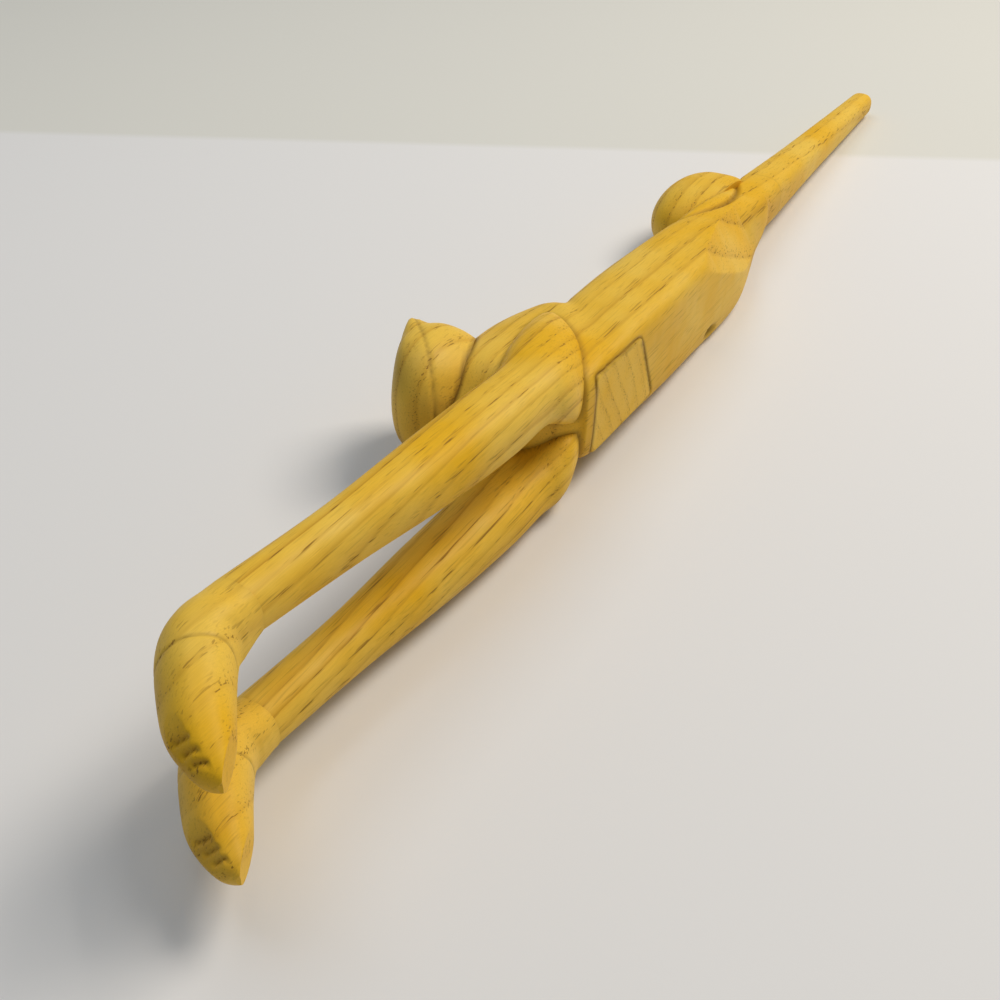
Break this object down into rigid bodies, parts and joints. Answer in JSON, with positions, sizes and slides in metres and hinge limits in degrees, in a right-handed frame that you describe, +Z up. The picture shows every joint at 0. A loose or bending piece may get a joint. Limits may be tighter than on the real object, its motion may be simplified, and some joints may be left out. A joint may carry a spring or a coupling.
{
  "type": "back scratcher",
  "caption": "Carved wooden back scratcher in the form of a stretching cat: clawed forepaws are the scratching hooks, and the long tail is the handle.",
  "frame": {"origin": "middle of the length and of the belly-to-back depth, on the surface that it lies on", "axes": "+X runs from the paws to the tip of the tail, +Y to the animal's back side, +Z up, out of its left side"},
  "size_m": [0.4852, 0.0678, 0.0509],
  "materials": {
    "carved_wood": "satin, hand-carved and lightly waxed",
    "dowel_wood": "plain turned dowel"
  },
  "bodies": {
    "root": {"torso": "carved_wood", "belly_panel": "carved_wood", "head": "carved_wood", "left_foreleg": "carved_wood", "right_foreleg": "carved_wood", "left_paw": "carved_wood", "right_paw": "carved_wood", "rump": "carved_wood", "tail_handle": "carved_wood", "shoulder_dowel": "dowel_wood", "neck_dowel": "dowel_wood", "left_wrist_dowel": "dowel_wood", "right_wrist_dowel": "dowel_wood", "rump_dowel": "dowel_wood"}
  },
  "joints": []
}
